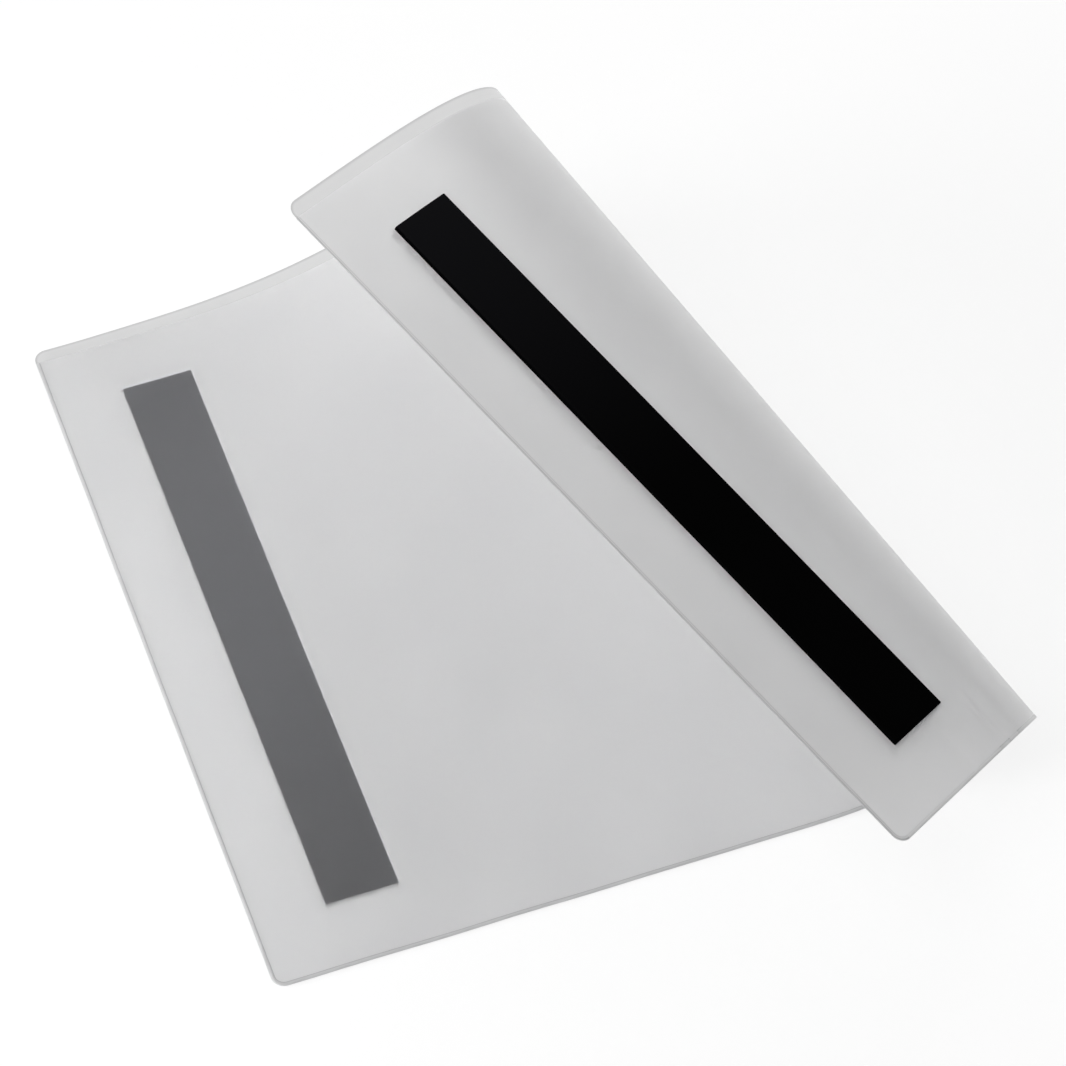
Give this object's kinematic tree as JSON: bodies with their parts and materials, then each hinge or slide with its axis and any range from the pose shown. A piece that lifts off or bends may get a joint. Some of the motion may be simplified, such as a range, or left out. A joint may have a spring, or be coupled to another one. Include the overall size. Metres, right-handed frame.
{
  "type": "magnetic display pocket",
  "caption": "Frosted landscape A4 document pocket, welded on three sides, with a flexible magnetic strip taped to its back along each short side; one end is rolled up and over.",
  "frame": {"origin": "middle of the left magnetic strip's holding face, which lies on the board or table", "axes": "+X along the foot, from the flat end to the rolled end; +Y from the foot to the open mouth; +Z out of the front film"},
  "size_m": [0.2036, 0.2699, 0.1391],
  "materials": {
    "frosted_film": "frosted translucent film, faint satin sheen",
    "welded_seam": "fused, smooth",
    "magnetic_rubber": "matt black, very fine grain",
    "adhesive_tape": "thin double-sided tape"
  },
  "bodies": {
    "flat_side": {"back_film_00": "frosted_film", "front_film_00": "frosted_film", "foot_seam_00": "welded_seam", "left_seam": "welded_seam", "left_magnetic_strip": "magnetic_rubber", "left_adhesive_tape": "adhesive_tape"},
    "roll_01": {"back_film_01": "frosted_film", "front_film_01": "frosted_film", "foot_seam_01": "welded_seam"},
    "roll_02": {"back_film_02": "frosted_film", "front_film_02": "frosted_film", "foot_seam_02": "welded_seam"},
    "roll_03": {"back_film_03": "frosted_film", "front_film_03": "frosted_film", "foot_seam_03": "welded_seam"},
    "roll_04": {"back_film_04": "frosted_film", "front_film_04": "frosted_film", "foot_seam_04": "welded_seam"},
    "roll_05": {"back_film_05": "frosted_film", "front_film_05": "frosted_film", "foot_seam_05": "welded_seam"},
    "roll_06": {"back_film_06": "frosted_film", "front_film_06": "frosted_film", "foot_seam_06": "welded_seam"},
    "roll_07": {"back_film_07": "frosted_film", "front_film_07": "frosted_film", "foot_seam_07": "welded_seam"},
    "roll_08": {"back_film_08": "frosted_film", "front_film_08": "frosted_film", "foot_seam_08": "welded_seam"},
    "roll_09": {"back_film_09": "frosted_film", "front_film_09": "frosted_film", "foot_seam_09": "welded_seam"},
    "roll_10": {"back_film_10": "frosted_film", "front_film_10": "frosted_film", "foot_seam_10": "welded_seam"},
    "roll_11": {"back_film_11": "frosted_film", "front_film_11": "frosted_film", "foot_seam_11": "welded_seam"},
    "end_flap": {"back_film_12": "frosted_film", "front_film_12": "frosted_film", "foot_seam_12": "welded_seam", "right_seam": "welded_seam", "right_magnetic_strip": "magnetic_rubber", "right_adhesive_tape": "adhesive_tape"}
  },
  "joints": [
    {"name": "bend_01", "type": "hinge", "parent": "flat_side", "child": "roll_01", "pos_m": [0.077, 0.001, 0.00185], "axis": [-0.4789, 0.8779, 0], "range_deg": [-2.7, 13.8]},
    {"name": "bend_02", "type": "hinge", "parent": "roll_01", "child": "roll_02", "pos_m": [0.09926, 0.00072, 0.00662], "axis": [-0.422, 0.9065, 0.0156], "range_deg": [-2.7, 13.8]},
    {"name": "bend_03", "type": "hinge", "parent": "roll_02", "child": "roll_03", "pos_m": [0.11296, 0.00001, 0.01284], "axis": [-0.3847, 0.9223, 0.0367], "range_deg": [-2.7, 13.8]},
    {"name": "bend_04", "type": "hinge", "parent": "roll_03", "child": "roll_04", "pos_m": [0.12284, -0.00126, 0.02025], "axis": [-0.3571, 0.932, 0.0624], "range_deg": [-2.7, 13.8]},
    {"name": "bend_05", "type": "hinge", "parent": "roll_04", "child": "roll_05", "pos_m": [0.13, -0.00317, 0.02858], "axis": [-0.3369, 0.9371, 0.0918], "range_deg": [-2.7, 13.8]},
    {"name": "bend_06", "type": "hinge", "parent": "roll_05", "child": "roll_06", "pos_m": [0.13481, -0.00579, 0.0376], "axis": [-0.3238, 0.938, 0.1241], "range_deg": [-2.7, 13.8]},
    {"name": "bend_07", "type": "hinge", "parent": "roll_06", "child": "roll_07", "pos_m": [0.13737, -0.00919, 0.04704], "axis": [-0.3179, 0.9348, 0.1583], "range_deg": [-2.7, 13.8]},
    {"name": "bend_08", "type": "hinge", "parent": "roll_07", "child": "roll_08", "pos_m": [0.13765, -0.01345, 0.05669], "axis": [-0.3195, 0.9276, 0.1937], "range_deg": [-2.7, 13.8]},
    {"name": "bend_09", "type": "hinge", "parent": "roll_08", "child": "roll_09", "pos_m": [0.13549, -0.01868, 0.0663], "axis": [-0.3296, 0.9158, 0.2294], "range_deg": [-2.7, 13.8]},
    {"name": "bend_10", "type": "hinge", "parent": "roll_09", "child": "roll_10", "pos_m": [0.13052, -0.02509, 0.0757], "axis": [-0.3495, 0.8988, 0.2645], "range_deg": [-2.7, 13.8]},
    {"name": "bend_11", "type": "hinge", "parent": "roll_10", "child": "roll_11", "pos_m": [0.12175, -0.03326, 0.08481], "axis": [-0.383, 0.8741, 0.2987], "range_deg": [-2.7, 13.8]},
    {"name": "bend_12", "type": "hinge", "parent": "roll_11", "child": "end_flap", "pos_m": [0.10513, -0.04562, 0.09428], "axis": [-0.4439, 0.8317, 0.3337], "range_deg": [-2.7, 13.8]}
  ],
  "couplings": [
    {"joint": "bend_02", "follows": "bend_01", "ratio": 1},
    {"joint": "bend_03", "follows": "bend_01", "ratio": 1},
    {"joint": "bend_04", "follows": "bend_01", "ratio": 1},
    {"joint": "bend_05", "follows": "bend_01", "ratio": 1},
    {"joint": "bend_06", "follows": "bend_01", "ratio": 1},
    {"joint": "bend_07", "follows": "bend_01", "ratio": 1},
    {"joint": "bend_08", "follows": "bend_01", "ratio": 1},
    {"joint": "bend_09", "follows": "bend_01", "ratio": 1},
    {"joint": "bend_10", "follows": "bend_01", "ratio": 1},
    {"joint": "bend_11", "follows": "bend_01", "ratio": 1},
    {"joint": "bend_12", "follows": "bend_01", "ratio": 1}
  ]
}
